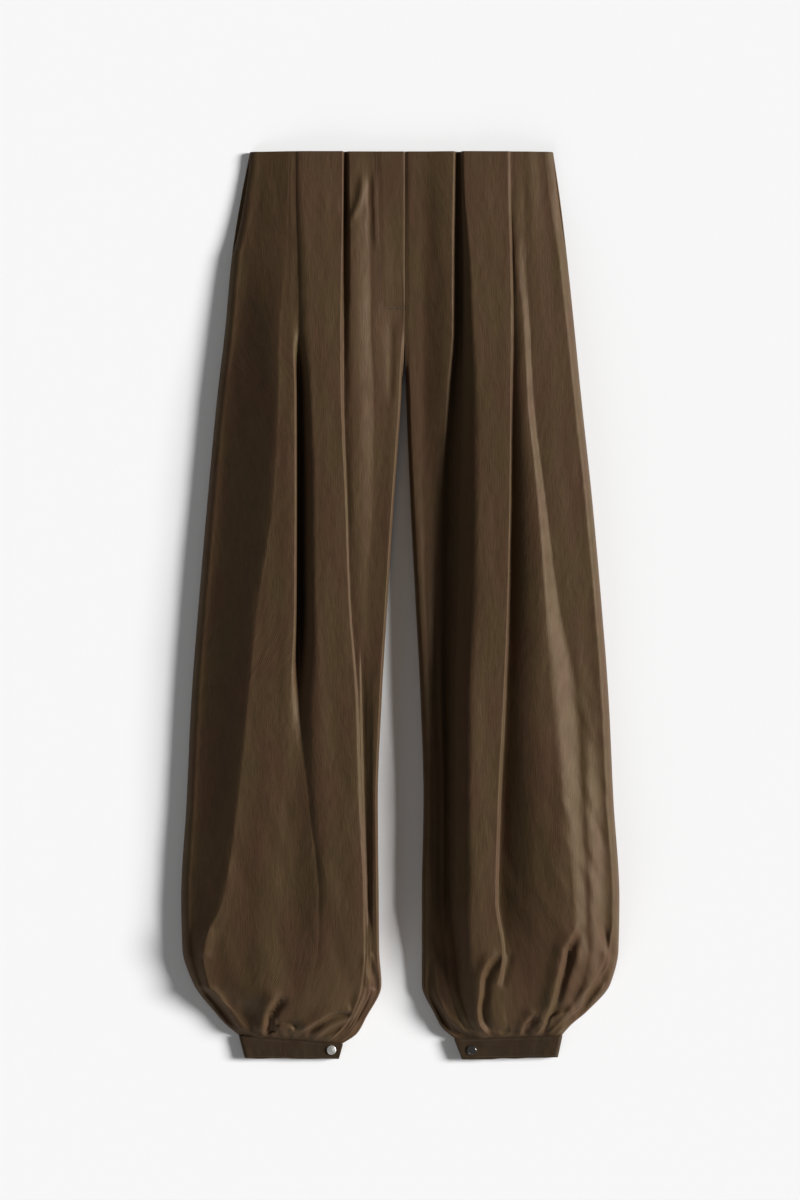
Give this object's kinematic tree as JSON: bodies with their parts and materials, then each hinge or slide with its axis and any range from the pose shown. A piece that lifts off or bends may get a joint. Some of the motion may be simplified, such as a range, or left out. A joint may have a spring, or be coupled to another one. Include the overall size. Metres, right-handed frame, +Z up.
{
  "type": "balloon trousers",
  "caption": "Balloon trousers with box pleats at the waist, a topstitched fly and full legs gathered into snapped ankle cuffs, laid out flat on their back.",
  "frame": {"origin": "Middle of the outline, on the surface that the trousers lie on.", "axes": "+X runs across the front towards the wearer's left leg, +Y from the cuffs to the waist, +Z up from the surface through the front."},
  "size_m": [0.5125, 1.06, 0.052],
  "materials": {
    "cloth": "fluid twill with a soft lustre and fine creases",
    "snap_metal": "nickel plated, slightly brushed"
  },
  "bodies": {
    "root": {"front_left": "cloth", "front_right": "cloth", "back_left": "cloth", "back_right": "cloth", "fly": "cloth", "pocket_left": "cloth", "pocket_right": "cloth", "cuff_left": "cloth", "cuff_right": "cloth", "snap_left": "snap_metal", "snap_right": "snap_metal"}
  },
  "joints": []
}
